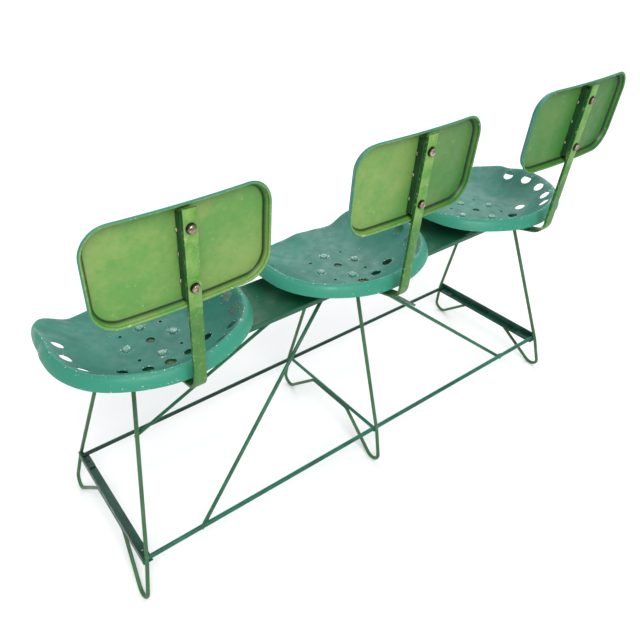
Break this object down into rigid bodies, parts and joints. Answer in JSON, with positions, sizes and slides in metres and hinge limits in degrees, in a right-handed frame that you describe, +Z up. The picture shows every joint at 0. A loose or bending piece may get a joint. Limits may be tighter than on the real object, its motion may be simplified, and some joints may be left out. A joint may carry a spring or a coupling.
{
  "type": "tandem seat bench",
  "caption": "Row bench with dished perforated metal seats and curved backs on straps, bolted to one channel rail over splayed bent-rod legs with stretchers and braces.",
  "frame": {"origin": "middle of the whole bench's bounding box, on the floor", "axes": "+X along the bench to the sitter's left, -Y the way the sitter faces, +Z up"},
  "size_m": [1.2822, 0.3983, 0.8042],
  "materials": {
    "seat_paint": "worn teal gloss paint, chipped to white primer on edges",
    "back_paint": "worn green paint over yellow, mottled",
    "strap_paint": "worn yellow-green paint",
    "channel_paint": "dark green paint with bare weld tacks",
    "rail_paint": "dark teal paint with small chips",
    "leg_paint": "worn green paint",
    "stretcher_paint": "worn teal-green paint",
    "brace_paint": "worn teal-green paint",
    "angle_paint": "dark teal paint, edges rubbed lighter",
    "bolt_paint": "painted over, chipped",
    "bare_fixing": "bare dull zinc-plated steel"
  },
  "bodies": {
    "root": {"seat_pan_left": "seat_paint", "seat_pan_middle": "seat_paint", "seat_pan_right": "seat_paint", "seat_bolts_left": "bolt_paint", "seat_bolts_middle": "bolt_paint", "seat_bolts_right": "bolt_paint", "seat_nuts_left": "bolt_paint", "seat_nuts_middle": "bolt_paint", "seat_nuts_right": "bolt_paint", "seat_spacers_left": "strap_paint", "seat_spacers_middle": "strap_paint", "seat_spacers_right": "strap_paint", "back_strap_left": "strap_paint", "back_strap_middle": "strap_paint", "back_strap_right": "strap_paint", "back_pan_left": "back_paint", "back_pan_middle": "back_paint", "back_pan_right": "back_paint", "back_channel_left": "channel_paint", "back_channel_middle": "channel_paint", "back_channel_right": "channel_paint", "back_bolts_left": "bare_fixing", "back_bolts_middle": "bare_fixing", "back_bolts_right": "bare_fixing", "back_nuts_left": "bare_fixing", "back_nuts_middle": "bare_fixing", "back_nuts_right": "bare_fixing", "leg_rod_left": "leg_paint", "leg_rod_middle": "leg_paint", "leg_rod_right": "leg_paint", "rail": "rail_paint", "cross_angle_left": "angle_paint", "cross_angle_right": "angle_paint", "cross_rod_middle": "leg_paint", "stretcher_lugs": "angle_paint", "front_stretcher": "stretcher_paint", "rear_stretcher": "stretcher_paint", "front_brace_left": "brace_paint", "front_brace_right": "brace_paint", "rear_brace_left": "brace_paint", "rear_brace_right": "brace_paint"}
  },
  "joints": []
}
